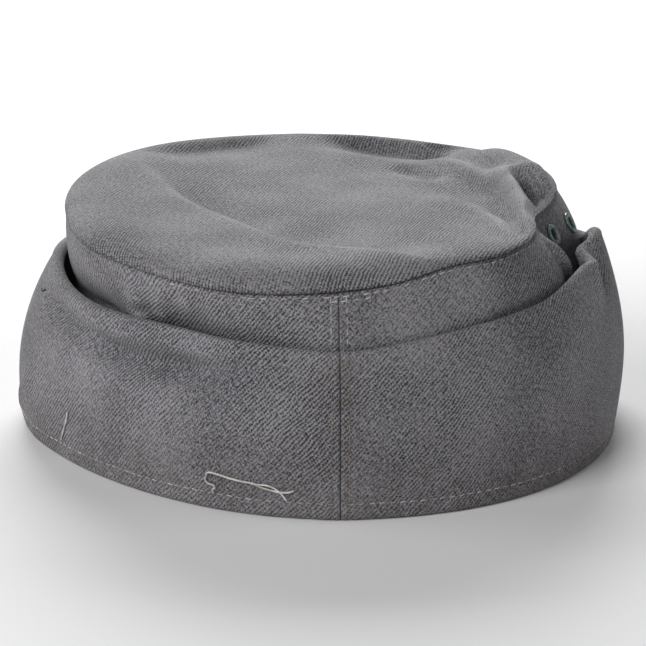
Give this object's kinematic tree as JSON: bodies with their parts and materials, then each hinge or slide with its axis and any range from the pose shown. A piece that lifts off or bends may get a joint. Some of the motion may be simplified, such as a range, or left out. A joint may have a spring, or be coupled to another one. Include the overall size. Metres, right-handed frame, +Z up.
{
  "type": "mountain cap",
  "caption": "Soft wool cap with a short peak, a slack flat crown and an ear and neck flap turned up and buttoned round it.",
  "frame": {"origin": "bottom centre of the cap's own box, on the surface that it rests on", "axes": "+Z up, the peak towards -Y, the back seam towards +Y, the wearer's left towards +X"},
  "size_m": [0.1888, 0.2656, 0.0779],
  "materials": {
    "wool_twill": "matte grey wool twill",
    "eyelet_paint": "satin green-grey paint",
    "button_resin": "satin grey resin"
  },
  "bodies": {
    "root": {"crown_top": "wool_twill", "band_left": "wool_twill", "band_right": "wool_twill", "flap_left": "wool_twill", "flap_right": "wool_twill", "peak": "wool_twill", "eyelet_right_rear": "eyelet_paint", "eyelet_right_front": "eyelet_paint", "eyelet_left_rear": "eyelet_paint", "eyelet_left_front": "eyelet_paint", "button_lower": "button_resin", "button_upper": "button_resin"}
  },
  "joints": []
}
